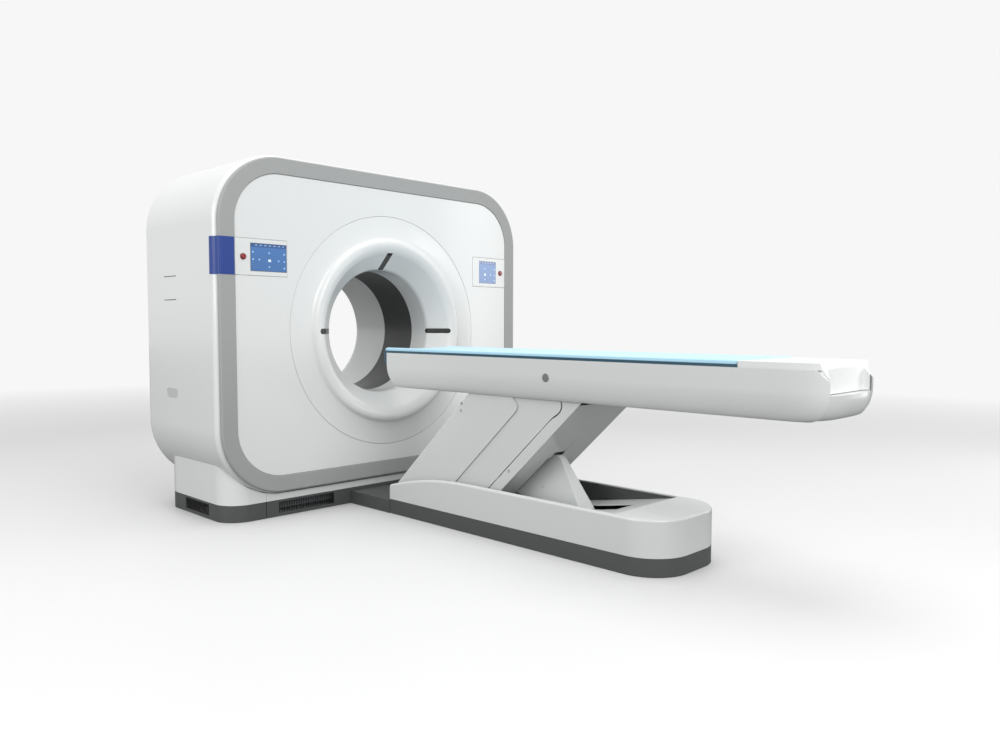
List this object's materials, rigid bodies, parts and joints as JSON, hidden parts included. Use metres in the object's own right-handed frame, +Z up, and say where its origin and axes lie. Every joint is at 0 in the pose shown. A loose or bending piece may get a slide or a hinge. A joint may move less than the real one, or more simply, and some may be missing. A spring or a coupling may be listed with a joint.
{
  "type": "computed tomography scanner",
  "caption": "Full-body computed tomography scanner: ring gantry with a turning tube and detector inside, and a patient table on lifting arms whose cradle slides into the bore",
  "frame": {"origin": "point on the floor under the middle of the scan plane, on the underside of the gantry frame's middle pad", "axes": "+X across the scanner to the right seen from the table, +Y along the bore from the table to the back of the gantry, +Z up"},
  "size_m": [2.1545, 3.621, 1.911],
  "materials": {
    "cover_white": "smooth white moulded covers",
    "cover_grey": "smooth pale grey moulded covers",
    "bezel_grey": "mid grey moulded plastic",
    "cap_blue": "glossy blue cap",
    "plinth_grey": "dark grey plinth",
    "grille_black": "black slats",
    "window_dark": "dark ring the rays pass through",
    "laser_black": "black window strips",
    "screen_blue": "touch screen, fields of blue",
    "button_red": "dark red push caps",
    "frame_steel": "grey painted steel",
    "foot_rubber": "black feet",
    "bearing_steel": "ground steel",
    "rotor_alloy": "machined aluminium",
    "tube_metal": "satin tube housing",
    "unit_dark": "dark painted housings",
    "unit_light": "light grey housings",
    "weight_iron": "cast weights",
    "ring_brass": "slip ring tracks",
    "belt_rubber": "black belt",
    "strip_black": "low-friction strips",
    "cradle_teal": "dark teal composite shell",
    "mattress_blue": "light blue wipe-clean mattress cover"
  },
  "bodies": {
    "base": {"gantry_base_frame": "frame_steel", "gantry_feet": "foot_rubber", "plinth_band": "plinth_grey", "plinth_grilles": "grille_black", "skirt_cover": "cover_white", "outer_shell": "cover_white", "front_bezel": "bezel_grey", "front_cover": "cover_white", "bell_mouth": "cover_white", "scan_window": "window_dark", "rear_flare": "cover_white", "rear_cover": "cover_white", "laser_windows": "laser_black", "control_panels": "cover_white", "touch_screens": "screen_blue", "end_cap": "cap_blue", "side_latches": "bezel_grey", "stator_frame": "frame_steel", "bearing_outer_race": "bearing_steel", "brush_block": "unit_dark", "drive_motor": "unit_dark", "drive_belt": "belt_rubber", "floor_duct": "plinth_grey", "table_plinth": "plinth_grey", "table_base_cover": "cover_grey", "base_ramp": "cover_grey", "table_base_frame": "frame_steel", "lift_motor": "unit_dark"},
    "stop_left": {"stop_button_left": "button_red"},
    "stop_right": {"stop_button_right": "button_red"},
    "ball_cage": {"bearing_balls": "bearing_steel"},
    "rotor": {"bearing_inner_race": "bearing_steel", "rotor_drum": "rotor_alloy", "xray_tube": "tube_metal", "collimator": "unit_dark", "detector_arc": "unit_dark", "high_voltage_unit": "unit_light", "heat_exchanger": "rotor_alloy", "balance_weights": "weight_iron", "slip_ring": "ring_brass"},
    "pulley": {"motor_pulley": "bearing_steel"},
    "screw": {"lift_screw": "bearing_steel"},
    "carriage": {"lift_carriage": "frame_steel"},
    "strut": {"strut": "frame_steel", "strut_cover": "cover_grey"},
    "shutter": {"slot_shutter": "cover_grey"},
    "front_arm": {"front_arm": "frame_steel", "front_arm_cover": "cover_grey"},
    "rear_arm": {"rear_arm": "frame_steel", "middle_cover": "cover_grey", "rear_arm_cover": "cover_grey"},
    "table": {"table_frame": "frame_steel", "slide_strips": "strip_black", "table_side_cover": "cover_white", "foot_bumper": "cover_white", "release_button": "unit_light"},
    "drive_roller": {"drive_roller": "belt_rubber"},
    "cradle": {"cradle": "cradle_teal", "mattress": "mattress_blue", "cradle_end_cover": "cover_white"}
  },
  "joints": [
    {"name": "rotor_spin", "type": "hinge", "parent": "base", "child": "rotor", "pos_m": [0, 0, 0.991], "axis": [0, 1, 0], "continuous": true},
    {"name": "cage_turn", "type": "hinge", "parent": "base", "child": "ball_cage", "pos_m": [0, 0, 0.991], "axis": [0, 1, 0], "continuous": true},
    {"name": "pulley_turn", "type": "hinge", "parent": "base", "child": "pulley", "pos_m": [-0.86, 0, 0.341], "axis": [0, 1, 0], "continuous": true},
    {"name": "stop_left_press", "type": "slide", "parent": "base", "child": "stop_left", "axis": [0, 1, 0], "range_m": [0, 0.004], "stiffness_N_per_m": 1000, "springref_m": -0.002},
    {"name": "stop_right_press", "type": "slide", "parent": "base", "child": "stop_right", "axis": [0, 1, 0], "range_m": [0, 0.004], "stiffness_N_per_m": 1000, "springref_m": -0.002},
    {"name": "lift", "type": "hinge", "parent": "base", "child": "front_arm", "pos_m": [0, -0.834, 0.12], "axis": [-1, 0, 0], "range_deg": [-22.5, 6.5]},
    {"name": "table_level", "type": "hinge", "parent": "front_arm", "child": "table", "pos_m": [0, -1.45814, 0.70202], "axis": [-1, 0, 0], "range_deg": [-6.6, 22.6]},
    {"name": "rear_arm_turn", "type": "hinge", "parent": "base", "child": "rear_arm", "pos_m": [0, -1.284, 0.12], "axis": [-1, 0, 0], "range_deg": [-22.6, 6.6]},
    {"name": "strut_turn", "type": "hinge", "parent": "rear_arm", "child": "strut", "pos_m": [0, -1.57106, 0.38768], "axis": [-1, 0, 0], "range_deg": [-13.2, 45.2]},
    {"name": "carriage_level", "type": "hinge", "parent": "strut", "child": "carriage", "pos_m": [0, -1.85811, 0.12], "axis": [-1, 0, 0], "range_deg": [-22.6, 6.6]},
    {"name": "shutter_slide", "type": "slide", "parent": "rear_arm", "child": "shutter", "axis": [0, -0.7314, 0.682], "range_m": [-0.03, 0.12]},
    {"name": "roller_turn", "type": "hinge", "parent": "table", "child": "drive_roller", "pos_m": [0, -0.977, 0.7987], "axis": [-1, 0, 0], "range_deg": [-1, 4300]},
    {"name": "screw_spin", "type": "hinge", "parent": "base", "child": "screw", "pos_m": [0, 0, 0.066], "axis": [0, 1, 0], "continuous": true},
    {"name": "cradle_slide", "type": "slide", "parent": "table", "child": "cradle", "axis": [0, 1, 0], "range_m": [0, 1.65]}
  ],
  "couplings": [
    {"joint": "cage_turn", "follows": "rotor_spin", "ratio": 0.4871},
    {"joint": "pulley_turn", "follows": "rotor_spin", "ratio": 12.833},
    {"joint": "table_level", "follows": "lift", "ratio": -1},
    {"joint": "rear_arm_turn", "follows": "lift", "ratio": 1},
    {"joint": "strut_turn", "follows": "lift", "ratio": -2},
    {"joint": "carriage_level", "follows": "lift", "ratio": 1},
    {"joint": "shutter_slide", "follows": "lift", "m_per_rad": -0.26},
    {"joint": "roller_turn", "follows": "cradle_slide", "rad_per_m": 45.455}
  ]
}
